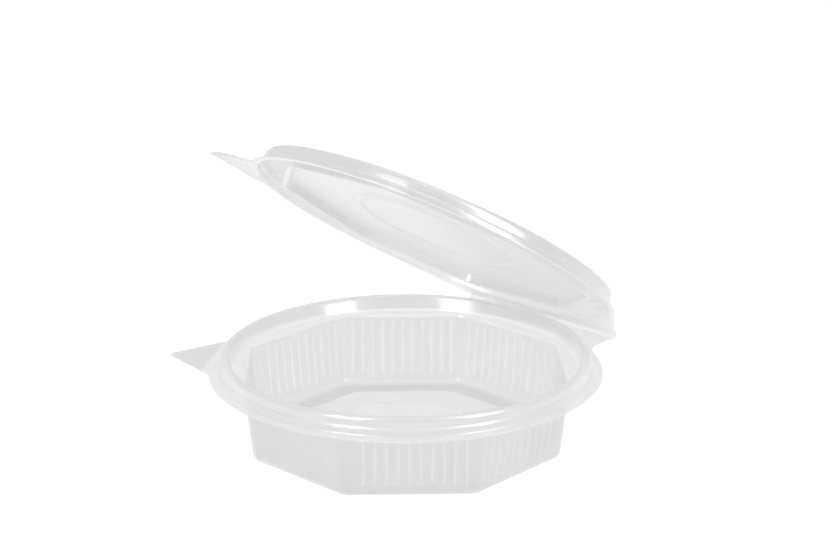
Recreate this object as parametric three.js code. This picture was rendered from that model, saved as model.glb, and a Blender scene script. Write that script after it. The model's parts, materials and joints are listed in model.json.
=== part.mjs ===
// Hinged takeaway container of clear plastic sheet, in millimetres, +Z up.
// The tray is an octagonal tub with fluted walls under a round snap rim. The lid is a low octagonal cap with a
// matching round channel, and the two flanges meet along a straight fold at the back (+Y).
// The tray is modelled about its own axis, on the surface that it stands on. The lid is modelled shut and is then
// swung open about the fold. At the end the whole container moves so that the origin is under its middle.

import * as THREE from 'three';

// Sheet and the shared plan
const SHEET = 0.5;                 // thickness of the formed plastic
const SIDES = 8;                   // walls of the tub and of the lid's cap
const RING_STEPS = 56;             // points round a plain ring, seven to a side
const CORNER = Math.PI / SIDES;    // half of the angle that one side takes

// Rim, bead and flange
const TRAY_RIM_RADIUS = 80.5;
const LID_RIM_RADIUS = 79.9;
const TRAY_RIM_HEIGHT = 30.65;     // top face of the tray's flange
const BEAD_HEIGHT = 7.2;           // crest of the snap bead above that face

// Fold between tray and lid
const FOLD_DISTANCE = 87.17;       // from the tray's axis to the fold
const FOLD_HALF_LENGTH = 39;
const FOLD_FILLET = 14;            // hollow fillet from the fold's end to the round flange
const FOLD_CORNER = 1.5;           // rounding of the fold's own ends
const FOLD_CLEARANCE = 0.2;        // each half stops this far from the fold line
const FLANGE_GAP = 0.5;            // between the two flanges when the lid is shut
const LID_OPEN_DEG = 34.25;        // how far the lid stands open in the photo

// Pull tab, the same on tray and lid
const TAB_DIRECTION_DEG = 214.3;
const TAB_REACH = 99.5;            // tip, from the tray's axis
const TAB_TIP_RADIUS = 3;
const TAB_EDGE_DEG = 43;           // between the tab's middle line and its edges
const TAB_FILLET = 9;

// Tub
const WALL_TOP_HEIGHT = 30.0;
const WALL_TOP_APOTHEM = 64.0;
const WALL_FOOT_HEIGHT = 4.0;
const WALL_FOOT_APOTHEM = 61.5;
const WALL_CORNER_RADIUS = 6;
const FLUTES_PER_SIDE = 10;
const FLUTE_PITCH = 4.4;
const FLUTE_WIDTH = 2.6;
const FLUTE_FLANK = 0.5;
const FLUTE_DEPTH = 0.7;           // flutes bulge outwards from the wall
const FLUTE_END = 1.0;             // height over which a flute runs out at its top and foot
const PLAIN_SIDE = 6;              // the side opposite the fold has no flutes
const CORNER_SPREAD = [-2, 0, 2];  // degrees from a corner to the points that round it
const PLAIN_SPREAD = [-14, 0, 14]; // degrees from the plain side's middle to its points
const FLOOR_DISC_RADIUS = 35.2;
const FLOOR_DISC_RISE = 1.3;

// Lid
const LID_CREST = 7.05;            // underside of the channel above the flange's underside
const LID_PANEL = 4.9;             // underside of the flat panel
const LID_FOOT = 0.7;              // lowest line of the groove inside the channel
const LID_RING_RADIUS = 34.5;      // moulded ring in the middle of the panel
const LID_RING_WIDTH = 4;
const LID_RING_DEPTH = 0.6;

// Radius, in the direction given from a side's middle, of an octagon with rounded corners.
// An octagon whose corner radius equals its apothem is a circle.
function octagonRadius(apothem, cornerRadius, angle) {
  const turn = 2 * CORNER;
  const fromMiddle = Math.abs(angle - turn * Math.round(angle / turn));
  const flatHalf = (apothem - cornerRadius) * Math.tan(CORNER);
  if (apothem * Math.tan(fromMiddle) <= flatHalf) {
    return apothem / Math.cos(fromMiddle);
  }
  const arcCentre = (apothem - cornerRadius) / Math.cos(CORNER);
  const offset = CORNER - fromMiddle;
  const across = arcCentre * Math.sin(offset);
  return arcCentre * Math.cos(offset) + Math.sqrt(cornerRadius ** 2 - across ** 2);
}

// A profile station is an octagonal or round ring at one height.
function station(apothem, height, cornerRadius = apothem) {
  return { apothem, height, cornerRadius };
}

// Moves the stations of a profile by the sheet's thickness, square to the profile.
// The profile runs inwards, and lift 1 moves a level stretch straight up.
function offsetProfile(stations, lift) {
  return stations.map((here, i) => {
    const before = stations[Math.max(i - 1, 0)];
    const after = stations[Math.min(i + 1, stations.length - 1)];
    const into = new THREE.Vector2(here.apothem - before.apothem, here.height - before.height);
    const away = new THREE.Vector2(after.apothem - here.apothem, after.height - here.height);
    if (i === 0) into.copy(away);
    if (i === stations.length - 1) away.copy(into);
    into.normalize();
    away.normalize();
    const mean = into.clone().add(away).normalize();
    const stretch = 1 / Math.max(mean.dot(into), 0.6);
    const distance = lift * SHEET * stretch;
    const apothem = here.apothem + mean.y * distance;
    const height = here.height - mean.x * distance;
    const round = here.cornerRadius === here.apothem;
    return { ...here, apothem, height, cornerRadius: round ? apothem : here.cornerRadius };
  });
}

function ringPoints({ apothem, height, cornerRadius }) {
  return Array.from({ length: RING_STEPS }, (_, i) => {
    const angle = CORNER + (2 * Math.PI * i) / RING_STEPS;
    const radius = octagonRadius(apothem, cornerRadius, angle);
    return new THREE.Vector3(radius * Math.cos(angle), radius * Math.sin(angle), height);
  });
}

// A ring through the flutes: each flute is a shallow channel that stands out from its side, and the corners and
// the plain side follow the rounded octagon.
function flutedRing({ apothem, height, cornerRadius }) {
  const points = [];
  const addPolar = (from, degrees) => {
    const angle = from + THREE.MathUtils.degToRad(degrees);
    const radius = octagonRadius(apothem, cornerRadius, angle);
    points.push(new THREE.Vector3(radius * Math.cos(angle), radius * Math.sin(angle), height));
  };
  for (let side = 1; side <= SIDES; side += 1) {
    const middle = 2 * CORNER * side;
    const normal = new THREE.Vector2(Math.cos(middle), Math.sin(middle));
    CORNER_SPREAD.forEach((degrees) => addPolar(middle - CORNER, degrees));
    if (side === PLAIN_SIDE) {
      PLAIN_SPREAD.forEach((degrees) => addPolar(middle, degrees));
      continue;
    }
    for (let flute = 0; flute < FLUTES_PER_SIDE; flute += 1) {
      const centre = (flute - (FLUTES_PER_SIDE - 1) / 2) * FLUTE_PITCH;
      const half = FLUTE_WIDTH / 2;
      const section = [
        [centre - half - FLUTE_FLANK, 0],
        [centre - half, FLUTE_DEPTH],
        [centre + half, FLUTE_DEPTH],
        [centre + half + FLUTE_FLANK, 0],
      ];
      section.forEach(([along, out]) => {
        const x = normal.x * (apothem + out) - normal.y * along;
        const y = normal.y * (apothem + out) + normal.x * along;
        points.push(new THREE.Vector3(x, y, height));
      });
    }
  }
  return points;
}

// Centre of a hollow fillet that touches a straight edge and the round flange from outside.
// The edge runs from start along direction, and outward is its normal.
function filletCentre(start, direction, outward, rimRadius, fillet) {
  const base = start.clone().addScaledVector(outward, fillet);
  const reach = rimRadius + fillet;
  const middle = -base.dot(direction);
  const half = Math.sqrt(middle ** 2 - base.lengthSq() + reach ** 2);
  return base.addScaledVector(direction, middle + (middle > half ? -half : half));
}

function arcPoints(centre, radius, from, to, steps) {
  return Array.from({ length: steps + 1 }, (_, i) => {
    const angle = from + ((to - from) * i) / steps;
    return new THREE.Vector2(centre.x + radius * Math.cos(angle), centre.y + radius * Math.sin(angle));
  });
}

// Half of the fold's web, on the +X side: along the fold, round its end, down to the hollow fillet.
function webEdge(rimRadius) {
  const top = FOLD_DISTANCE - FOLD_CLEARANCE;
  const cornerCentre = new THREE.Vector2(FOLD_HALF_LENGTH - FOLD_CORNER, top - FOLD_CORNER);
  const edgeStart = new THREE.Vector2(FOLD_HALF_LENGTH, top - FOLD_CORNER);
  const down = new THREE.Vector2(0, -1);
  const centre = filletCentre(edgeStart, down, new THREE.Vector2(1, 0), rimRadius, FOLD_FILLET);
  const end = Math.atan2(-centre.y, -centre.x);
  return [
    new THREE.Vector2(0, top),
    new THREE.Vector2(FOLD_HALF_LENGTH / 2, top),
    ...arcPoints(cornerCentre, FOLD_CORNER, Math.PI / 2, 0, 2),
    ...arcPoints(centre, FOLD_FILLET, Math.PI, end + 2 * Math.PI, 5),
  ];
}

// Half of the tab, in the tab's own frame with its middle line along +X: tip, straight edge, hollow fillet.
function tabEdge(rimRadius) {
  const slant = THREE.MathUtils.degToRad(TAB_EDGE_DEG);
  const tipCentre = new THREE.Vector2(TAB_REACH - TAB_TIP_RADIUS, 0);
  const outward = new THREE.Vector2(Math.sin(slant), Math.cos(slant));
  const along = new THREE.Vector2(-Math.cos(slant), Math.sin(slant));
  const start = tipCentre.clone().addScaledVector(outward, TAB_TIP_RADIUS);
  const centre = filletCentre(start, along, outward, rimRadius, TAB_FILLET);
  const first = Math.atan2(-outward.y, -outward.x);
  const last = Math.atan2(-centre.y, -centre.x);
  return [
    ...arcPoints(tipCentre, TAB_TIP_RADIUS, 0, Math.PI / 2 - slant, 2),
    ...arcPoints(centre, TAB_FILLET, first, last, 4),
  ];
}

// The whole outline of a flange: a circle with the fold's web at +Y and the tab.
function rimOutline(rimRadius) {
  const web = webEdge(rimRadius);
  const tab = tabEdge(rimRadius);
  const tabTurn = THREE.MathUtils.degToRad(TAB_DIRECTION_DEG);
  const origin = new THREE.Vector2(0, 0);
  const mirrorWeb = web.slice(1).map((p) => new THREE.Vector2(-p.x, p.y));
  const leftTab = tab.map((p) => p.clone().rotateAround(origin, tabTurn));
  const rightTab = tab.slice(1).map((p) => new THREE.Vector2(p.x, -p.y).rotateAround(origin, tabTurn));
  const features = [...web, ...mirrorWeb, ...leftTab, ...rightTab];
  const angleOf = (p) => (Math.atan2(p.y, p.x) + 2 * Math.PI) % (2 * Math.PI);
  const webSpan = angleOf(web[web.length - 1]);
  const tabHalf = Math.atan2(tab[tab.length - 1].y, tab[tab.length - 1].x);
  const margin = Math.PI / RING_STEPS;
  const plain = Array.from({ length: RING_STEPS }, (_, i) => (2 * Math.PI * (i + 0.5)) / RING_STEPS)
    .filter((angle) => Math.abs(angle - Math.PI / 2) > Math.PI / 2 - webSpan + margin)
    .filter((angle) => Math.abs(angle - tabTurn) > tabHalf + margin)
    .map((angle) => new THREE.Vector2(rimRadius * Math.cos(angle), rimRadius * Math.sin(angle)));
  return [...features, ...plain].sort((p, q) => angleOf(p) - angleOf(q));
}

function liftOutline(outline, height) {
  return outline.map((p) => new THREE.Vector3(p.x, p.y, height));
}

// Collects rings of points and the bands of triangles between them.
class Skin {
  constructor() {
    this.positions = [];
    this.indices = [];
  }

  ring(points) {
    return points.map((p) => {
      this.positions.push(p.x, p.y, p.z);
      return this.positions.length / 3 - 1;
    });
  }

  angle(index) {
    const turn = Math.atan2(this.positions[3 * index + 1], this.positions[3 * index]);
    return (turn + 2 * Math.PI) % (2 * Math.PI);
  }

  triangle(a, b, c, flip) {
    this.indices.push(...(flip ? [a, c, b] : [a, b, c]));
  }

  // Joins an outer ring to the next ring inwards. Rings of one count pair up point by point, and others are
  // merged in order of angle.
  band(outer, inner, flip) {
    if (outer.length === inner.length) {
      outer.forEach((a, i) => {
        const b = outer[(i + 1) % outer.length];
        const c = inner[(i + 1) % inner.length];
        this.triangle(a, b, inner[i], flip);
        this.triangle(b, c, inner[i], flip);
      });
      return;
    }
    const byAngle = (ring) => {
      const sorted = [...ring].sort((p, q) => this.angle(p) - this.angle(q));
      return [...sorted, sorted[0]];
    };
    const far = byAngle(outer);
    const near = byAngle(inner);
    const reached = (ring, i) => (i < ring.length - 1 ? this.angle(ring[i]) : this.angle(ring[0]) + 2 * Math.PI);
    let i = 0;
    let j = 0;
    while (i < far.length - 1 || j < near.length - 1) {
      const farNext = i < far.length - 1 ? reached(far, i + 1) : Infinity;
      const nearNext = j < near.length - 1 ? reached(near, j + 1) : Infinity;
      if (farNext <= nearNext) {
        this.triangle(far[i], far[i + 1], near[j], flip);
        i += 1;
      } else {
        this.triangle(far[i], near[j + 1], near[j], flip);
        j += 1;
      }
    }
  }

  // Lays a face from the outermost ring to a middle point.
  face(rings, middleHeight, flip) {
    for (let i = 0; i + 1 < rings.length; i += 1) this.band(rings[i], rings[i + 1], flip);
    const [middle] = this.ring([new THREE.Vector3(0, 0, middleHeight)]);
    const last = rings[rings.length - 1];
    last.forEach((a, i) => this.triangle(a, last[(i + 1) % last.length], middle, flip));
  }

  geometry() {
    const geometry = new THREE.BufferGeometry();
    geometry.setAttribute('position', new THREE.Float32BufferAttribute(this.positions, 3));
    geometry.setIndex(this.indices);
    geometry.computeVertexNormals();
    return geometry;
  }
}

// A closed sheet: an upper and a lower face that share the flange's outline, joined by the flange's edge.
function sheetGeometry(outline, upper, lower, makeRing) {
  const skin = new Skin();
  const side = (stations, isUpper) => {
    const rings = stations.map((s, i) => skin.ring(i === 0 ? liftOutline(outline, s.height) : makeRing(s)));
    skin.face(rings, stations[stations.length - 1].height, !isUpper);
    return rings[0];
  };
  const top = side(upper, true);
  const bottom = side(lower, false);
  skin.band(bottom, top, false);
  return skin.geometry();
}

// Tray, upper face, from the flange inwards
function trayProfile() {
  const rim = TRAY_RIM_HEIGHT;
  const bead = (radius, rise) => station(radius, rim + rise);
  const octagon = (apothem, height, corner = WALL_CORNER_RADIUS) => station(apothem, height, corner);
  const fluted = (height) => {
    const share = (height - WALL_FOOT_HEIGHT) / (WALL_TOP_HEIGHT - WALL_FOOT_HEIGHT);
    const apothem = WALL_FOOT_APOTHEM + share * (WALL_TOP_APOTHEM - WALL_FOOT_APOTHEM);
    return { ...octagon(apothem, height), fluted: true };
  };
  return [
    station(TRAY_RIM_RADIUS, rim),
    bead(76.5, 0),
    bead(76.15, 2.7),
    bead(75.65, 3.1),
    bead(75.45, BEAD_HEIGHT - 1.3),
    bead(74.8, BEAD_HEIGHT - 0.3),
    bead(73.7, BEAD_HEIGHT),
    bead(72.6, BEAD_HEIGHT - 0.3),
    bead(71.9, BEAD_HEIGHT - 1.4),
    bead(70.7, 1.4),
    bead(70.1, 0.9),
    octagon(65.2, rim + 0.5),
    octagon(WALL_TOP_APOTHEM, WALL_TOP_HEIGHT),
    fluted(WALL_TOP_HEIGHT - FLUTE_END),
    fluted(WALL_FOOT_HEIGHT + FLUTE_END),
    octagon(WALL_FOOT_APOTHEM, WALL_FOOT_HEIGHT),
    octagon(60.9, 2.1),
    octagon(59.5, SHEET + 0.5),
    octagon(57.5, SHEET),
    octagon(50.2, SHEET),
    octagon(49.4, SHEET + 0.3),
    station(FLOOR_DISC_RADIUS + 1, SHEET + 0.3),
    station(FLOOR_DISC_RADIUS - 1, SHEET + FLOOR_DISC_RISE),
  ];
}

function makeTray(material) {
  const upper = trayProfile();
  const lower = offsetProfile(upper, -1);
  const rings = (s) => (s.fluted ? flutedRing(s) : ringPoints(s));
  const tray = new THREE.Mesh(sheetGeometry(rimOutline(TRAY_RIM_RADIUS), upper, lower, rings), material);
  tray.name = 'tray';
  return tray;
}

// Lid, lower face, from the flange inwards, in the place that it has when shut
function lidProfile() {
  const flange = TRAY_RIM_HEIGHT + FLANGE_GAP;
  const round = (radius, rise) => station(radius, flange + rise);
  const octagon = (apothem, rise, corner) => station(apothem, flange + rise, corner);
  const ringOuter = LID_RING_RADIUS + LID_RING_WIDTH / 2;
  const ringInner = LID_RING_RADIUS - LID_RING_WIDTH / 2;
  return [
    round(LID_RIM_RADIUS, 0),
    round(77.0, 0),
    round(76.75, 2.5),
    round(76.2, 2.9),
    round(76.0, LID_CREST - 1.2),
    round(75.4, LID_CREST - 0.4),
    round(74.2, LID_CREST),
    octagon(70.8, LID_CREST + 0.1, 42),
    octagon(68.0, LID_CREST, 24),
    octagon(67.2, LID_CREST - 0.8, 23),
    octagon(65.4, LID_FOOT + 0.2, 20),
    octagon(64.3, LID_FOOT, 16),
    octagon(63.3, LID_FOOT + 0.6, 11),
    octagon(62.3, LID_PANEL - 0.8, 8),
    octagon(61.3, LID_PANEL - 0.2, 8),
    octagon(56.0, LID_PANEL, 7),
    round(ringOuter + 0.5, LID_PANEL),
    round(ringOuter, LID_PANEL - LID_RING_DEPTH),
    round(ringInner, LID_PANEL - LID_RING_DEPTH),
    round(ringInner - 0.5, LID_PANEL),
  ];
}

// The shut lid hangs in a group whose origin is on the fold, and the group's turn opens it.
function makeLid(material) {
  const lower = lidProfile();
  const upper = offsetProfile(lower, 1);
  const lid = new THREE.Mesh(sheetGeometry(rimOutline(LID_RIM_RADIUS), upper, lower, ringPoints), material);
  lid.name = 'lid';
  const foldHeight = TRAY_RIM_HEIGHT + FLANGE_GAP / 2;
  lid.position.set(0, -FOLD_DISTANCE, -foldHeight);
  const hinge = new THREE.Group();
  hinge.position.set(0, FOLD_DISTANCE, foldHeight);
  hinge.rotation.x = -THREE.MathUtils.degToRad(LID_OPEN_DEG);
  hinge.add(lid);
  return hinge;
}

const clearPlastic = () => new THREE.MeshStandardMaterial({ color: 0xe9ecee, roughness: 0.08, metalness: 0 });

const container = new THREE.Group();
container.add(makeTray(clearPlastic()));
container.add(makeLid(clearPlastic()));
const middle = new THREE.Box3().setFromObject(container, true).getCenter(new THREE.Vector3());
container.position.set(-middle.x, -middle.y, 0);

export default container;
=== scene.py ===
"""A clear takeaway tub of formed plastic sheet with its hinged lid open, on a pale studio floor.

Shapes are worked out in millimetres about the tray's own axis and then put into the frame, in metres.
"""

import json
import math

import bpy
import numpy as np
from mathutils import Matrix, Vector


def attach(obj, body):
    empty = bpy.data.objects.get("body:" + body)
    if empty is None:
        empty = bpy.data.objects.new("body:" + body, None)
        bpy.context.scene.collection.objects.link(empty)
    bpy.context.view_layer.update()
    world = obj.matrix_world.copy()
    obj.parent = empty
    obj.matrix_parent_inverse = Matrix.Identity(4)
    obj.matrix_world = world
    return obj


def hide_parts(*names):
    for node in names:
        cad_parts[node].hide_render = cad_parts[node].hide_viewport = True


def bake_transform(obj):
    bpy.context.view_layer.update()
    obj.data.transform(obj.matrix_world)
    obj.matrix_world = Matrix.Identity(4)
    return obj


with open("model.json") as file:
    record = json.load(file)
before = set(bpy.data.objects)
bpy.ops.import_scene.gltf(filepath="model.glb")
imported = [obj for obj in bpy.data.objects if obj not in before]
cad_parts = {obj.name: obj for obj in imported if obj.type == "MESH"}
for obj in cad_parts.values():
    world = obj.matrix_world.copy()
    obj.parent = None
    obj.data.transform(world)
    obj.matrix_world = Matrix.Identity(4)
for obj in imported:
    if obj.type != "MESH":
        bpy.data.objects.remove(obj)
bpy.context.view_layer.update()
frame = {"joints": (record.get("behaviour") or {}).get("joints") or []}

# The frame: the fold's line, and from it the tray's own axis
MM = 0.001
FOLD_DISTANCE = 87.17
fold_joint = frame["joints"][0]
fold_point = np.array(fold_joint["pos_m"])
LID_OPEN = math.radians(-fold_joint["range_deg"][0])
FOLD_HEIGHT = fold_point[2] / MM
tray_axis = fold_point * (1, 1, 0) - (0, FOLD_DISTANCE * MM, 0)

# The sheet. The solids are 0.5 thick, and the sheet that shows lies inside them.
SOLID = 0.5
SHEET = 0.35
LID_INSET = 0.05
SHARP = math.radians(50)

# Rim and flange
TRAY_RIM = 80.37
LID_RIM = 79.9
RIM_HEIGHT = 30.65
LID_HEIGHT = 31.15
BEAD_FOOT = 77.8

# Fold's webs and pull tabs, as seen from above. Each web ends where the fold's roll starts.
WEB_HALF = 40.0
WEB_FILLET = 14.0
TRAY_WEB_END = 85.1
LID_WEB_END = 82.45
TAB_DIRECTION = math.radians(214.3)
TAB_REACH = 99.25
TAB_TIP = 3.0
TAB_SLANT = math.radians(43)
TAB_FILLET = 9.0
TAB_BEND = 2.6
TAB_RINGS = 7
RIM_STEP = math.radians(0.6)
RIM_CLEAR = 0.005
WEB_END_POINTS = 10
WEB_FILLET_STEPS = 16
WEB_SLANT_POINTS = 22
TAB_TIP_STEPS = 8
TAB_FILLET_STEPS = 14

# Octagonal tub
SIDES = 8
CORNER = math.pi / SIDES
WALL_TOP = (64.0, 30.0)
WALL_FOOT = (61.5, 4.0)
PLAIN_SIDE = 6
FLUTES = 10
FLUTE_PITCH = 4.4
FLUTE_HALF = 2.18
FLUTE_FLANK = 1.0
FLUTE_DEPTH = 0.45
FLUTE_TOP = 29.2
FLUTE_FOOT = 4.6
WALL_ROWS = 16
BEND_STEPS = 3
LONGEST_BEND = 0.48

# Finish of the sheet, for each of its two faces. The milk's paleness runs from 0, dark, to 1, pale.
MILK_DARK = (0.80, 0.80, 0.802, 1)
MILK_PALE = (0.97, 0.97, 0.972, 1)
PALE_CLOUD = 0.147
# Paler from the rim up: partly the thicker, less drawn sheet, partly painted light
RIM_PALE_THICK_AND_PAINTED_LIGHT = 0.794
# Painted shade on the upper part of the open lid
LID_PAINTED_SHADE = 0.353
# Painted shade on the pull tabs
TAB_PAINTED_SHADE = 0.235
# Painted highlight lines on the flute ridges
LINE_PAINTED_HIGHLIGHT = 0.55
EDGE_POWER = 1.2
MILK_ROUGHNESS = 0.6
CLOUD_SCALE = 25.0
VEIL_SQUARE = 0.5
VEIL_EDGE = 0.42
VEIL_POWER = 2
MIRROR_SQUARE = 0.05
MIRROR_EDGE = 0.4
MIRROR_PAD = 0.2
MIRROR_POWER = 5
GLOSS_ROUGHNESS = 0.17
RIPPLE_SCALE = 30.0
RIPPLE_HEIGHT = 0.003
RIDGE_HEIGHT = 0.05
RIDGE_PITCH = 1.9

# Where the finish changes, as the two ends of each smooth step. Several of these place painted shade and
# painted highlights.
# Where the pull tab, with its painted shade, starts
TAB_START = (80.6, 82.0)
GRIP_START = (84.0, 84.6)
GRIP_TIP = (96.0, 96.6)
# The floor's foot, which gets painted shade
FOOT_TOP = (0.9, 1.3)
FOOT_EDGE = (49.9, 50.3)
# The round pad, which gets a painted highlight and a stronger mirror
PAD_TOP = (1.9, 2.2)
PAD_EDGE = (35.2, 36.0)
# Painted highlight lines on the flutes
LINE_FOOT = (4.5, 5.5)
LINE_TOP = (28.2, 29.4)
LINE_END = (22.2, 22.6)
LINE_POWER = 6
PLAIN_REACH = (58.0, 59.0)
SIDE_TO_SIDE = (-0.05, 0.05)
# The flange's cut edge, which gets a painted highlight
EDGE_FOOT = (30.0, 30.1)
EDGE_TOP = (30.7, 30.8)
EDGE_REACH = (78.0, 79.0)
EDGE_UPRIGHT = (0.4, 0.6)
# From here up the sheet is paler: partly thicker sheet, partly painted light
PALE_RIM_FROM = (29.5, 31.0)
# The open lid's upper part, which gets painted shade
LID_FROM = (45.0, 85.0)

# Studio
FLOOR_HALF = 4.0
FLOOR_MATT = 0.3
FLOOR_GLOW = 0.9
STUDIO = ((0.0, 0.5), (0.08, 0.58), (0.22, 0.74), (1.0, 0.8))
VIEW_FROM = math.radians(-46.7)
TOP_BOX = ((0.1, 0.3, 1.7), (0, 0, 0), (1.6, 1.6), 12)
BOX_DISTANCE = 1.3
BOX_RISE = math.radians(30)
BOX_AIM = (0, 0, 0.03)
BOX_SIZE = (0.5, 1.25)
BOX_POWER = 14
BOX_TURNS = {"left_box": math.radians(-35), "right_box": math.radians(46)}

# View: the camera's place from the tray's axis, and the way that it looks
CAMERA_PLACE = np.array([489.6, -513.4, 292.2])
CAMERA_FORWARD = Vector((-0.6541, 0.6942, -0.3004))
CAMERA_LENS = 79.74
SENSOR_WIDTH = 36
LIGHT_BOUNCES = 32

# Roll of the fold: it starts level in the tray's web and comes round to the open lid's
ROLL_RADIUS = 2.3
ROLL_HALF = 41.3
ROLL_CENTRE = np.array([TRAY_WEB_END, RIM_HEIGHT - SOLID + ROLL_RADIUS])
ROLL_START = math.radians(270)
ROLL_END = math.radians(503)
ROLL_STEPS = 25
ROLL_COLUMNS = 40


def columns_along_side():
    """Places along one wall: eight to each flute's pitch, and a few more round the corner.

    The first array is millimetres from the wall's middle. The second is the share of the way from the last
    flute to the corner, which is 0 along the flutes.
    """
    pattern = np.array([-2.2, -1.92, -1.6, -1.25, 0.0, 1.25, 1.6, 1.92])
    centres = (np.arange(FLUTES) - (FLUTES - 1) / 2) * FLUTE_PITCH
    along = np.append((centres[:, None] + pattern).ravel(), FLUTES * FLUTE_PITCH / 2)
    round_corner = np.array([0.3, 0.6, 0.82, 1.0])
    before = -round_corner[::-1][1:]
    share = np.concatenate([before, np.zeros(len(along)), round_corner])
    edge = FLUTES * FLUTE_PITCH / 2
    places = np.concatenate([np.full(len(before), -edge), along, np.full(len(round_corner), edge)])
    return places, share


def octagon_radius(apothem, corner, off):
    """Radius of an octagon with rounded corners, off being the angle from the nearest side's middle.

    Where the corner's radius is the apothem itself, the octagon is a circle.
    """
    off = np.abs(off)
    straight = apothem * np.tan(off) <= (apothem - corner) * math.tan(CORNER)
    arc_centre = (apothem - corner) / math.cos(CORNER)
    rest = CORNER - off
    root = np.sqrt(np.maximum(corner**2 - (arc_centre * np.sin(rest)) ** 2, 0))
    return np.where(straight, apothem / np.cos(off), arc_centre * np.cos(rest) + root)


def flute_relief(along, height, side):
    """How far the wall stands out: a stadium round each flute's upright middle line, with sloped flanks."""
    centre = (np.round(along / FLUTE_PITCH - 0.5) + 0.5) * FLUTE_PITCH
    inside = np.abs(centre) < FLUTES * FLUTE_PITCH / 2
    low = FLUTE_FOOT + FLUTE_HALF
    high = FLUTE_TOP - FLUTE_HALF
    past = height - np.clip(height, low, high)
    depth = (FLUTE_HALF - np.hypot(along - centre, past)) / FLUTE_FLANK
    depth = np.clip(depth, 0, 1)
    return np.where(inside & (side != PLAIN_SIDE), FLUTE_DEPTH * depth**2 * (3 - 2 * depth), 0)


def rounded(stations):
    """A profile with its corners rounded: each corner becomes a quadratic curve that starts and ends at most
    its own bend away from it. A station is apothem, height, corner radius and bend."""
    points = np.array([s[:3] for s in stations], float)
    rows = [points[:1]]
    for before, here, after, station in zip(points, points[1:], points[2:], stations[1:]):
        bend = station[3]
        if bend == 0:
            rows.append(here[None])
            continue
        arms = [before - here, after - here]
        reach = [min(bend / np.hypot(*arm[:2]), LONGEST_BEND) for arm in arms]
        start, end = (here + arm * share for arm, share in zip(arms, reach))
        t = np.linspace(0, 1, BEND_STEPS + 1)[:, None]
        rows.append((1 - t) ** 2 * start + 2 * t * (1 - t) * here + t**2 * end)
    rows.append(points[-1:])
    return np.concatenate(rows)


def profile_grid(rows):
    """Rings of points, one for each row of the profile and one column for each place round the tub.

    On the wall and outside it a column keeps its place along the side, and further in it keeps its angle.
    """
    places, share = columns_along_side()
    apothem, height, corner = (rows[:, k, None] for k in range(3))
    reach = np.maximum(apothem, WALL_FOOT[0])
    edge = np.arctan(FLUTES * FLUTE_PITCH / 2 / reach)
    off = np.arctan(places / reach) + share * (CORNER - edge)
    grids = []
    for side in range(SIDES):
        radius = octagon_radius(apothem, corner, off)
        radius = radius + flute_relief(places + 0 * apothem, height + 0 * places, side) / np.cos(off)
        angle = 2 * CORNER * side + off
        grids.append(np.stack([radius * np.cos(angle), radius * np.sin(angle), height + 0 * off], axis=-1))
    return np.concatenate(grids, axis=1)


def arc(centre, radius, start, end, steps):
    """Points on an arc, ends included."""
    turn = np.linspace(start, end, steps + 1)
    return np.stack([centre[0] + radius * np.cos(turn), centre[1] + radius * np.sin(turn)], axis=-1)


def fillet_centre(start, along, outward, rim, fillet):
    """Centre of a hollow fillet that touches the round rim, and the straight edge from start onwards."""
    base = start + outward * fillet
    middle = -base @ along
    half = math.sqrt(middle**2 - base @ base + (rim + fillet) ** 2)
    return base + along * (middle - half if middle > half else middle + half)


def turned(points, angle):
    """Points turned about the origin."""
    c, s = math.cos(angle), math.sin(angle)
    return points @ np.array([[c, s], [-s, c]])


def tray_web(rim):
    """Half of the tray's web: along the roll, and round its hollow fillet to the rim."""
    corner = np.array([WEB_HALF, TRAY_WEB_END])
    centre = fillet_centre(corner, np.array([0.0, -1.0]), np.array([1.0, 0.0]), rim, WEB_FILLET)
    last = math.atan2(-centre[1], -centre[0]) % (2 * math.pi)
    across = np.linspace(0, WEB_HALF, WEB_END_POINTS)
    end = np.stack([across, np.full(WEB_END_POINTS, TRAY_WEB_END)], axis=-1)
    return np.concatenate([end, arc(centre, WEB_FILLET, math.pi, last, WEB_FILLET_STEPS)])


def lid_web(rim):
    """Half of the lid's web: along the roll, and along the straight edge that touches the rim."""
    corner = np.array([WEB_HALF, FOLD_DISTANCE])
    turn = angle_of(corner[None])[0] - math.acos(rim / np.hypot(*corner))
    touch = rim * np.array([math.cos(turn), math.sin(turn)])
    share = (FOLD_DISTANCE - LID_WEB_END) / (FOLD_DISTANCE - touch[1])
    start = corner + (touch - corner) * share
    across = np.linspace(0, start[0], WEB_END_POINTS)
    end = np.stack([across, np.full(WEB_END_POINTS, LID_WEB_END)], axis=-1)
    return np.concatenate([end, np.linspace(start, touch, WEB_SLANT_POINTS)[1:]])


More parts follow.
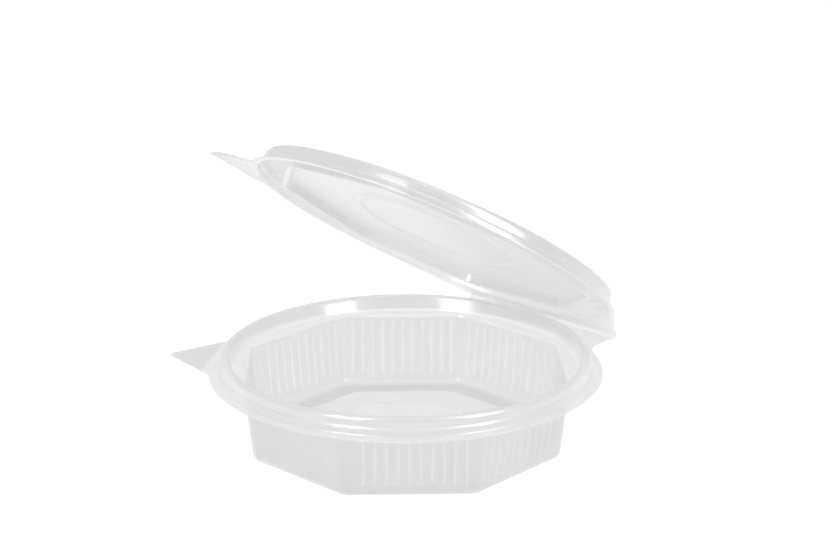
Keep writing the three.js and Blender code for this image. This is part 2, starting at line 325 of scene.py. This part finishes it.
def flange_outline(rim, web):
    """The flange's edge in order of angle: a circle with the fold's web at +Y and the pull tab."""
    tip = np.array([TAB_REACH - TAB_TIP, 0.0])
    outward = np.array([math.sin(TAB_SLANT), math.cos(TAB_SLANT)])
    along = np.array([-math.cos(TAB_SLANT), math.sin(TAB_SLANT)])
    hollow = fillet_centre(tip + outward * TAB_TIP, along, outward, rim, TAB_FILLET)
    first = math.atan2(-outward[1], -outward[0])
    end = math.atan2(-hollow[1], -hollow[0])
    tab = np.concatenate([
        arc(tip, TAB_TIP, 0, math.pi / 2 - TAB_SLANT, TAB_TIP_STEPS),
        arc(hollow, TAB_FILLET, first, end, TAB_FILLET_STEPS),
    ])
    web_turn = math.pi / 2 - math.atan2(web[-1, 1], web[-1, 0])
    tab_turn = math.atan2(tab[-1, 1], tab[-1, 0])
    free = np.arange(0, 2 * math.pi, RIM_STEP)
    clear_of_web = np.abs(free - math.pi / 2) > web_turn + RIM_CLEAR
    clear_of_tab = np.abs(free - TAB_DIRECTION) > tab_turn + RIM_CLEAR
    free = free[clear_of_web & clear_of_tab]
    points = np.concatenate([
        web,
        web[1:] * (-1, 1),
        turned(tab, TAB_DIRECTION),
        turned(tab[1:] * (1, -1), TAB_DIRECTION),
        rim * np.stack([np.cos(free), np.sin(free)], axis=-1),
    ])
    return points[np.argsort(angle_of(points))]


def angle_of(points):
    """Angle about the axis, from 0 to a full turn."""
    return np.arctan2(points[:, 1], points[:, 0]) % (2 * math.pi)


def grid_normals(grid):
    """Normals of a closed ring grid, from its central differences, pointing up where the rows run inwards."""
    round_ring = np.roll(grid, -1, axis=1) - np.roll(grid, 1, axis=1)
    inwards = np.gradient(grid, axis=0)
    normal = np.cross(round_ring, inwards)
    return normal / np.linalg.norm(normal, axis=-1, keepdims=True)


def ring_band(outer, inner):
    """Triangles between two rings of vertices that lie in order of angle, merged like the two sides of a zip.

    Each ring is a pair of its vertex numbers and their angles.
    """
    (far, far_angle), (near, near_angle) = outer, inner
    order = np.argsort(np.concatenate([far_angle, near_angle]), kind="stable")
    on_far = order < len(far)
    i = np.cumsum(on_far) - 1
    j = np.cumsum(~on_far) - 1
    a, b = far[i % len(far)], near[j % len(near)]
    far_step = np.stack([far[(i - 1) % len(far)], a, b], axis=-1)
    near_step = np.stack([a, b, near[(j - 1) % len(near)]], axis=-1)
    return np.where(on_far[:, None], far_step, near_step)


def grid_triangles(first, rows, columns):
    """Triangles of a ring grid whose vertices are numbered row by row from first."""
    row, column = np.meshgrid(np.arange(rows - 1), np.arange(columns), indexing="ij")
    right = (column + 1) % columns
    a, b = first + row * columns + column, first + row * columns + right
    c, d = b + columns, a + columns
    return np.concatenate([np.stack([a, b, c], -1).reshape(-1, 3), np.stack([a, c, d], -1).reshape(-1, 3)])


def tab_height(points, bend):
    """How far a pull tab bows up: half a sine wave from the rim to the tip, along the tab's middle line."""
    out = points[..., 0] * math.cos(TAB_DIRECTION) + points[..., 1] * math.sin(TAB_DIRECTION)
    return bend * np.sin(math.pi * np.clip((out - LID_RIM) / (TAB_REACH - LID_RIM), 0, 1))


def flange_rings(outline, inner, height, bend):
    """Rings from the outline towards the circle of the grid's first row, bowed along the pull tab."""
    radius = np.hypot(*outline.T)
    steps = np.arange(TAB_RINGS if bend else 1)[:, None] / TAB_RINGS
    scale = 1 - steps * (1 - inner / radius)
    plan = outline * scale[..., None]
    return np.concatenate([plan, (height + tab_height(plan, bend))[..., None]], axis=-1)


def formed_sheet(grid, outline, height, depths, bend=0):
    """A closed sheet from a ring grid and the flange's outline, with the normal of each triangle's corners.

    Both faces follow the grid at their own depth below it, and each runs on to the outline and to a middle
    point. The edge joins the two outlines. A face shades by the grid's own normals, so that flat stretches
    stay flat beside tight bends, and the edge shades as it lies.
    """
    normal = grid_normals(grid)
    rows, columns = grid.shape[:2]
    rings = flange_rings(outline, np.hypot(*grid[0, 0, :2]), height, bend)
    ring_normal = grid_normals(rings) if bend else np.broadcast_to([0.0, 0.0, 1.0], rings.shape)
    points, normals, faces, rims = [], [], [], []
    count = 0
    for depth, upper in zip(depths, (True, False)):
        face = grid - normal * depth
        middle = face[-1].mean(axis=0)
        flange = rings - np.array([0, 0, depth])
        points += [face.reshape(-1, 3), middle[None], flange.reshape(-1, 3)]
        out = 1 if upper else -1
        upright = np.array([[0.0, 0.0, 1.0]])
        normals += [out * n for n in (normal.reshape(-1, 3), upright, ring_normal.reshape(-1, 3))]
        pole = count + rows * columns
        rim = pole + 1 + np.arange(len(outline))
        last_rim = rim + (len(rings) - 1) * len(outline)
        first_row = count + np.arange(columns)
        turn = angle_of(face[0])
        start = np.argmin(turn)
        inner = (np.roll(first_row, -start), np.roll(turn, -start))
        last_row = first_row + (rows - 1) * columns
        made = [
            grid_triangles(count, rows, columns),
            grid_triangles(pole + 1, len(rings), len(outline)),
            ring_band((last_rim, angle_of(outline)), inner),
            np.stack([last_row, np.roll(last_row, -1), np.full(columns, pole)], axis=-1),
        ]
        faces += made if upper else [f[:, ::-1] for f in made]
        rims.append(rim)
        count = last_rim[-1] + 1
    top, bottom = rims
    next_top, next_bottom = np.roll(top, -1), np.roll(bottom, -1)
    edge = np.concatenate([
        np.stack([bottom, next_bottom, top], -1),
        np.stack([next_bottom, next_top, top], -1),
    ])
    points, faces = np.concatenate(points), np.concatenate(faces)
    corners = [points[edge[:, k]] for k in range(3)]
    across = np.cross(corners[1] - corners[0], corners[2] - corners[0])
    across /= np.linalg.norm(across, axis=-1, keepdims=True)
    shading = np.concatenate([np.concatenate(normals)[faces].reshape(-1, 3), np.repeat(across, 3, axis=0)])
    return points, np.concatenate([faces, edge]), shading


def opened(points, pivot=(0, FOLD_DISTANCE, FOLD_HEIGHT)):
    """The shut lid's points swung open about the fold. About a pivot of zero it turns directions alone."""
    x, y, z = (points - pivot).T
    c, s = math.cos(LID_OPEN), math.sin(LID_OPEN)
    return np.column_stack([x, y * c + z * s, z * c - y * s]) + pivot


def make_piece(name, points, faces, material, shading=None):
    """A mesh object from points in millimetres about the tray's axis."""
    mesh = bpy.data.meshes.new(name)
    points = points * MM + tray_axis
    mesh.vertices.add(len(points))
    mesh.vertices.foreach_set("co", points.astype(np.float32).ravel())
    mesh.loops.add(faces.size)
    mesh.loops.foreach_set("vertex_index", faces.astype(np.int32).ravel())
    mesh.polygons.add(len(faces))
    mesh.polygons.foreach_set("loop_start", np.arange(0, faces.size, 3, dtype=np.int32))
    mesh.update(calc_edges=True)
    mesh.polygons.foreach_set("use_smooth", np.ones(len(faces), bool))
    if shading is None:
        mesh.set_sharp_from_angle(angle=SHARP)
    else:
        mesh.normals_split_custom_set(shading)
    mesh.materials.append(material)
    piece = bpy.data.objects.new(name, mesh)
    bpy.context.scene.collection.objects.link(piece)
    return piece


def wall_rows():
    """Rows down the fluted wall, close together at its top and foot."""
    share = (1 - np.cos(np.linspace(0, math.pi, WALL_ROWS))) / 2
    top, foot = np.array([*WALL_TOP, 6.0]), np.array([*WALL_FOOT, 6.0])
    return top + (foot - top) * share[:, None]


def tray_rows():
    """The tray's upper face from the flange inwards: bead, shoulder, fluted wall, floor and round pad."""
    rim = RIM_HEIGHT
    bead = rounded([
        (BEAD_FOOT, rim, BEAD_FOOT, 0),
        (76.5, rim, 76.5, 0.5),
        (76.15, rim + 2.7, 76.15, 0.3),
        (75.6, rim + 3.1, 75.6, 0.3),
        (75.35, rim + 7.2, 75.35, 1.7),
        (72.1, rim + 7.2, 72.1, 1.5),
        (70.6, rim + 0.9, 70.6, 0.6),
        (65.0, rim + 0.5, 12.0, 0.8),
        (WALL_TOP[0], WALL_TOP[1], 6.0, 0),
    ])
    floor = rounded([
        (*WALL_FOOT, 6.0, 0),
        (61.0, 0.5, 6.0, 3.2),
        (50.2, 0.5, 6.0, 0.3),
        (49.6, 0.8, 6.0, 0.3),
        (37.0, 0.8, 37.0, 0),
        (36.0, 0.8, 36.0, 0.5),
        (34.6, 1.8, 34.6, 0.5),
        (30.0, 1.8, 30.0, 0),
        (12.0, 1.8, 12.0, 0),
        (2.0, 1.8, 2.0, 0),
    ])
    return np.concatenate([bead[:-1], wall_rows()[:-1], floor])


def lid_rows():
    """The shut lid's underside from the flange inwards: round channel, octagonal groove, bevel and panel."""
    flange = LID_HEIGHT
    return rounded([
        (78.2, flange, 78.2, 0),
        (77.0, flange, 77.0, 0.5),
        (76.7, flange + 2.5, 76.7, 0.3),
        (76.15, flange + 2.9, 76.15, 0.3),
        (75.9, flange + 7.05, 75.9, 1.7),
        (71.5, flange + 7.15, 50.0, 0.8),
        (68.0, flange + 7.0, 24.0, 0.9),
        (65.6, flange + 0.7, 20.0, 0.8),
        (63.5, flange + 0.7, 11.0, 0.6),
        (62.2, flange + 4.4, 8.0, 0.5),
        (56.0, flange + 4.9, 7.0, 0.5),
        (44.0, flange + 4.9, 20.0, 0),
        (37.2, flange + 4.9, 37.2, 0.5),
        (36.2, flange + 4.1, 36.2, 0.5),
        (33.2, flange + 4.1, 33.2, 0.5),
        (32.2, flange + 4.9, 32.2, 0.5),
        (18.0, flange + 4.9, 18.0, 0),
        (6.0, flange + 4.9, 6.0, 0),
    ])


def make_tray(material):
    """The tray: its profile carried round the octagon, and its flange out to the web and the pull tab."""
    grid = profile_grid(tray_rows())
    outline = flange_outline(TRAY_RIM, tray_web(TRAY_RIM))
    points, faces, shading = formed_sheet(grid, outline, RIM_HEIGHT, (SOLID - SHEET, SOLID))
    tray = make_piece("tray_sheet", points, faces, material, shading)
    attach(tray, "tray")
    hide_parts("tray")


def make_lid(material):
    """The lid: made shut in the same way as the tray, then swung open about the fold."""
    grid = profile_grid(lid_rows())
    outline = flange_outline(LID_RIM, lid_web(LID_RIM))
    depths = (-SHEET - LID_INSET, -LID_INSET)
    points, faces, shading = formed_sheet(grid, outline, LID_HEIGHT, depths, TAB_BEND)
    lid = make_piece("lid_sheet", opened(points), faces, material, opened(shading, pivot=np.zeros(3)))
    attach(lid, "lid")
    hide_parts("lid")


def roll_half(name, start, end, material):
    """Half of the fold's roll: an arc of sheet carried along the fold, closed at its edges. With it come the
    arc's two ends in the frame."""
    turn = np.linspace(start, end, ROLL_STEPS)
    outside = np.stack([np.cos(turn), np.sin(turn)], axis=-1)
    section = ROLL_CENTRE + np.concatenate([outside * ROLL_RADIUS, outside[::-1] * (ROLL_RADIUS - SHEET)])
    along = np.linspace(-ROLL_HALF, ROLL_HALF, ROLL_COLUMNS)
    count = len(section)
    points = np.column_stack([np.repeat(along, count), np.tile(section, (len(along), 1))])
    row, column = np.meshgrid(np.arange(len(along) - 1), np.arange(count), indexing="ij")
    right = (column + 1) % count
    a, b = row * count + column, row * count + right
    sides = [
        np.stack([a, a + count, b], -1).reshape(-1, 3),
        np.stack([b, a + count, b + count], -1).reshape(-1, 3),
    ]
    strip = np.arange(len(turn) - 1)
    other = count - 1 - strip
    cap = np.concatenate([
        np.stack([strip, strip + 1, other], -1), np.stack([strip + 1, other - 1, other], -1),
    ])
    last = cap[:, ::-1] + (len(along) - 1) * count
    piece = make_piece(name, points, np.concatenate([*sides, cap, last]), material)
    chord = []
    for angle in (start, end):
        y, z = ROLL_CENTRE + ROLL_RADIUS * np.array([math.cos(angle), math.sin(angle)])
        chord.append(tray_axis + MM * np.array([0, y, z]))
    return piece, chord


def make_fold(material):
    """The roll runs from the tray's web round the fold's line to the lid's web, made in two halves."""
    middle = (ROLL_START + ROLL_END) / 2
    lower, (low, high) = roll_half("fold_tray_half", ROLL_START, middle, material)
    tuple(2 * high - low)
    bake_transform(lower)
    upper, (low, high) = roll_half("fold_lid_half", middle, ROLL_END, material)
    tuple(2 * low - high)
    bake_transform(upper)


class Value:
    """A node socket that reads like a number: arithmetic on it adds Math nodes."""

    def __init__(self, shader, socket):
        self.shader = shader
        self.socket = socket

    def _math(self, operation, *values):
        return self.shader.node("ShaderNodeMath", {"operation": operation}, dict(enumerate(values)))

    def __add__(self, other):
        return self._math("ADD", self, other)

    def __radd__(self, other):
        return self._math("ADD", other, self)

    def __sub__(self, other):
        return self._math("SUBTRACT", self, other)

    def __rsub__(self, other):
        return self._math("SUBTRACT", other, self)

    def __mul__(self, other):
        return self._math("MULTIPLY", self, other)

    def __rmul__(self, other):
        return self._math("MULTIPLY", other, self)

    def __pow__(self, other):
        return self._math("POWER", self, other)

    def __abs__(self):
        return self._math("ABSOLUTE", self)

    def cosine(self):
        return self._math("COSINE", self)

    def or_more(self, other):
        return self._math("MAXIMUM", self, other)


class Shader:
    """A material's node tree."""

    def __init__(self, name):
        self.material = bpy.data.materials.new(name)
        self.material.use_nodes = True
        self.tree = self.material.node_tree
        self.tree.nodes.clear()

    def node(self, kind, settings=None, sockets=None, output=0):
        """Adds a node: its settings first, then the values or links of its sockets."""
        made = self.tree.nodes.new(kind)
        for key, value in (settings or {}).items():
            setattr(made, key, value)
        for key, value in (sockets or {}).items():
            if isinstance(value, Value):
                self.tree.links.new(value.socket, made.inputs[key])
            else:
                made.inputs[key].default_value = value
        return Value(self, made.outputs[output])

    def past(self, value, start, end):
        """0 up to start and 1 from end on, with a smooth step between. Lengths are in millimetres."""
        return self.node("ShaderNodeMapRange", {"interpolation_type": "SMOOTHSTEP"}, {
            "Value": value, "From Min": start, "From Max": end, "To Min": 0.0, "To Max": 1.0})

    def mix_numbers(self, share, low, high):
        """A number between two, by a share."""
        return self.node("ShaderNodeMix", {"data_type": "FLOAT"}, {0: share, 2: low, 3: high})

    def mix_colours(self, share, low, high):
        """A colour between two, by a share."""
        return self.node("ShaderNodeMix", {"data_type": "RGBA"}, {0: share, 6: low, 7: high}, output=2)

    def mix_shaders(self, share, low, high):
        """A shader between two, by a share."""
        return self.node("ShaderNodeMixShader", sockets={0: share, 1: low, 2: high})

    def surface(self, shown):
        """Puts a shader on the material's output and gives the material."""
        output = self.tree.nodes.new("ShaderNodeOutputMaterial")
        self.tree.links.new(shown.socket, output.inputs["Surface"])
        return self.material


def grip_ridges(shader, x, y):
    """Where the pull tab is, and the ridges along it, inside a pad that narrows towards its tip."""
    c, s = math.cos(TAB_DIRECTION), math.sin(TAB_DIRECTION)
    out = x * c + y * s
    across = y * c - x * s
    taper = math.tan(TAB_SLANT)
    to_tip = shader.past(abs(across) + out * taper, *(end * taper for end in GRIP_TIP))
    pad = shader.past(out, *GRIP_START) * (1 - to_tip)
    return shader.past(out, *TAB_START), pad * (across * (2 * math.pi / RIDGE_PITCH)).cosine()


def painted_foot_shade_and_pad_highlight(shader, x, y, z):
    """Where the floor's octagonal foot and its round pad are: masks for painted shade on the foot, and for a
    painted highlight and a stronger mirror on the pad.
    """
    low = 1 - shader.past(z, *FOOT_TOP)
    reach = abs(x).or_more(abs(y)).or_more((abs(x) + abs(y)) * math.sqrt(0.5))
    foot = low * shader.past(reach, *FOOT_EDGE)
    pad = (1 - shader.past(x * x + y * y, *(edge**2 for edge in PAD_EDGE))) * (1 - shader.past(z, *PAD_TOP))
    return foot, pad


def painted_flute_highlights(shader, x, y, z):
    """Painted highlights on the upright ridges between the flutes: a raised cosine of the place along each
    side, to a power. The tub's plain side has none."""
    level, slanted = abs(x).or_more(abs(y)), (abs(x) + abs(y)) * math.sqrt(0.5)
    on_slant = shader.past(slanted - level, *SIDE_TO_SIDE)
    along_level = abs(x) + abs(y) - level
    along_slant = abs(abs(x) - abs(y)) * math.sqrt(0.5)
    along = shader.mix_numbers(on_slant, along_level, along_slant)
    turn = PLAIN_SIDE * 2 * CORNER
    plain = shader.past(x * math.cos(turn) + y * math.sin(turn), *PLAIN_REACH)
    tall = shader.past(z, *LINE_FOOT) * (1 - shader.past(z, *LINE_TOP))
    wall = tall * (1 - shader.past(along, *LINE_END)) * (1 - plain)
    return wall * (0.5 + 0.5 * (along * (2 * math.pi / FLUTE_PITCH)).cosine()) ** LINE_POWER


def painted_flange_edge_highlight(shader, x, y, z):
    """Where the cut edge of the tray's flange is, standing upright: a mask for a painted highlight along it.
    """
    facing = shader.node("ShaderNodeNewGeometry", output="True Normal")
    up = shader.node("ShaderNodeSeparateXYZ", sockets={0: facing}, output=2)
    level = shader.past(z, *EDGE_FOOT) * (1 - shader.past(z, *EDGE_TOP))
    outer = shader.past(x * x + y * y, *(reach**2 for reach in EDGE_REACH))
    return level * outer * (1 - shader.past(abs(up), *EDGE_UPRIGHT))


def milkiness(shader, place, x, y, z, edge_on, tab, pad, foot):
    """How pale the sheet's milk is: faintly cloudy, paler where seen edge on, and paler from the rim up,
    partly for the thicker sheet and partly as painted light. It has painted shade on the upper lid, the pull
    tabs and the floor's foot, and painted highlights on the flute ridges, the round pad and the flange's cut
    edge.
    """
    cloud = shader.node("ShaderNodeTexNoise", sockets={
        "Vector": place, "Scale": CLOUD_SCALE, "Detail": 3.0})
    # Paler from the rim up: partly thicker sheet, partly painted light
    pale = shader.mix_numbers(shader.past(z, *PALE_RIM_FROM), cloud * PALE_CLOUD, RIM_PALE_THICK_AND_PAINTED_LIGHT)
    # Painted shade on the upper part of the open lid
    pale = shader.mix_numbers(shader.past(z, *LID_FROM), pale, LID_PAINTED_SHADE)
    pale = shader.mix_numbers(edge_on**EDGE_POWER, pale, 1.0)
    # Painted shade on the pull tabs
    pale = shader.mix_numbers(tab, pale, TAB_PAINTED_SHADE)
    # Painted shade on the foot, where it rests on the floor
    pale = shader.mix_numbers(foot, pale, 0.0)
    # Painted highlight lines on the flute ridges
    pale = shader.mix_numbers(painted_flute_highlights(shader, x, y, z) * LINE_PAINTED_HIGHLIGHT, pale, 1.0)
    # Painted highlights on the round pad and on the flange's cut edge
    return shader.mix_numbers(pad.or_more(painted_flange_edge_highlight(shader, x, y, z)), pale, 1.0)


def milky_veil(shader, pale):
    """Milk in the sheet: half of its light goes back and half goes through, both as pale as the milk."""
    lit_side = shader.node("ShaderNodeBsdfPrincipled", sockets={
        "Base Color": shader.mix_colours(pale, MILK_DARK, MILK_PALE),
        "Roughness": MILK_ROUGHNESS, "Specular IOR Level": 0.0})
    dark, light = (
        shader.node("ShaderNodeBsdfTranslucent", sockets={"Color": colour})
        for colour in (MILK_DARK, MILK_PALE))
    return shader.mix_shaders(0.5, lit_side, shader.mix_shaders(pale, dark, light))


def clear_plastic():
    """Clear formed sheet with a slight milkiness: each face lets most light through, veils a little of it,
    and mirrors the studio, all three by how squarely it is seen."""
    shader = Shader("clear_plastic")
    place = shader.node("ShaderNodeTexCoord", output="Object")
    x, y, z = (
        (shader.node("ShaderNodeSeparateXYZ", sockets={0: place}, output=k) - tray_axis[k]) * (1 / MM)
        for k in range(3))
    ripple = shader.node("ShaderNodeTexNoise", sockets={
        "Vector": place, "Scale": RIPPLE_SCALE, "Detail": 1.0})
    tab, ridges = grip_ridges(shader, x, y)
    relief = ripple * RIPPLE_HEIGHT + ridges * RIDGE_HEIGHT
    bump = shader.node("ShaderNodeBump", sockets={"Strength": 1.0, "Distance": MM, "Height": relief})
    edge_on = shader.node("ShaderNodeLayerWeight", sockets={"Blend": 0.5, "Normal": bump}, output="Facing")
    foot, pad = painted_foot_shade_and_pad_highlight(shader, x, y, z)
    veil = milky_veil(shader, milkiness(shader, place, x, y, z, edge_on, tab, pad, foot))
    clear = shader.node("ShaderNodeBsdfTransparent")
    gloss = shader.node("ShaderNodeBsdfAnisotropic", sockets={
        "Color": (1, 1, 1, 1), "Roughness": GLOSS_ROUGHNESS, "Normal": bump})
    sheet = shader.mix_shaders(VEIL_SQUARE + VEIL_EDGE * edge_on**VEIL_POWER, clear, veil)
    mirror = MIRROR_SQUARE + MIRROR_EDGE * edge_on**MIRROR_POWER + MIRROR_PAD * pad
    return shader.surface(shader.mix_shaders(mirror, sheet, gloss))


def floor_material():
    """Pale floor of a light table: it glows by itself, and takes a little of the lamps' light and shade."""
    shader = Shader("studio_floor")
    place = shader.node("ShaderNodeTexCoord", output="Object")
    grain = shader.node("ShaderNodeTexNoise", sockets={"Vector": place, "Scale": 300.0})
    bump = shader.node("ShaderNodeBump", sockets={"Strength": 0.02, "Distance": 0.0005, "Height": grain})
    return shader.surface(shader.node("ShaderNodeBsdfPrincipled", sockets={
        "Base Color": (FLOOR_MATT, FLOOR_MATT, FLOOR_MATT, 1), "Roughness": 0.9, "Specular IOR Level": 0.0,
        "Emission Color": (1, 1, 1, 1), "Emission Strength": FLOOR_GLOW, "Normal": bump}))


def make_stage():
    """Pale floor far wider than the view."""
    corners = [(-1, -1), (1, -1), (1, 1), (-1, 1)]
    mesh = bpy.data.meshes.new("studio_floor")
    mesh.from_pydata([(x * FLOOR_HALF, y * FLOOR_HALF, 0) for x, y in corners], [], [(0, 1, 2, 3)])
    mesh.materials.append(floor_material())
    floor = bpy.data.objects.new("studio_floor", mesh)
    bpy.context.scene.collection.objects.link(floor)


def soft_box(name, place, aim, size, power):
    """A rectangular lamp aimed at a point. It shows in gloss, and the studio and floor light what is matt."""
    data = bpy.data.lights.new(name, "AREA")
    data.shape = "RECTANGLE"
    data.size, data.size_y = size
    data.energy = power
    light = bpy.data.objects.new(name, data)
    light.location = place
    light.rotation_euler = (Vector(aim) - Vector(place)).to_track_quat("-Z", "Y").to_euler()
    light.visible_diffuse = False
    bpy.context.scene.collection.objects.link(light)


def make_studio():
    """Walls and ceiling of the studio: grey at the horizon, paler overhead."""
    world = bpy.data.worlds.new("studio")
    world.use_nodes = True
    tree = world.node_tree
    heading = tree.nodes.new("ShaderNodeTexCoord")
    height = tree.nodes.new("ShaderNodeSeparateXYZ")
    ramp = tree.nodes.new("ShaderNodeValToRGB")
    tree.links.new(heading.outputs["Generated"], height.inputs[0])
    tree.links.new(height.outputs["Z"], ramp.inputs[0])
    stops = ramp.color_ramp.elements
    for level, grey in STUDIO[1:-1]:
        stops.new(level)
    for stop, (level, grey) in zip(stops, STUDIO):
        stop.position = level
        stop.color = (grey, grey, grey, 1)
    tree.links.new(ramp.outputs["Color"], tree.nodes["Background"].inputs["Color"])
    bpy.context.scene.world = world


def make_lights():
    """A wide box overhead, and two upright boxes in front, whose mirrored shapes lie on the rims."""
    soft_box("top_box", *TOP_BOX)
    out, up = math.cos(BOX_RISE), math.sin(BOX_RISE)
    for name, turn in BOX_TURNS.items():
        heading = VIEW_FROM + turn
        place = BOX_DISTANCE * np.array([math.cos(heading) * out, math.sin(heading) * out, up])
        soft_box(name, tuple(place), BOX_AIM, BOX_SIZE, BOX_POWER)
    make_studio()


def make_camera():
    """The photograph's view: from the front right, looking down by 17.5 degrees."""
    data = bpy.data.cameras.new("view")
    data.sensor_width = SENSOR_WIDTH
    data.lens = CAMERA_LENS
    data.clip_end = 20
    camera = bpy.data.objects.new("view", data)
    camera.location = tray_axis + MM * CAMERA_PLACE
    camera.rotation_euler = CAMERA_FORWARD.to_track_quat("-Z", "Y").to_euler()
    bpy.context.scene.collection.objects.link(camera)
    bpy.context.scene.camera = camera


make_camera()
plastic = clear_plastic()
make_tray(plastic)
make_lid(plastic)
make_fold(plastic)
make_stage()
make_lights()

scene = bpy.context.scene
scene.view_settings.view_transform = "Standard"
scene.cycles.max_bounces = LIGHT_BOUNCES
scene.cycles.transmission_bounces = LIGHT_BOUNCES
scene.cycles.transparent_max_bounces = LIGHT_BOUNCES
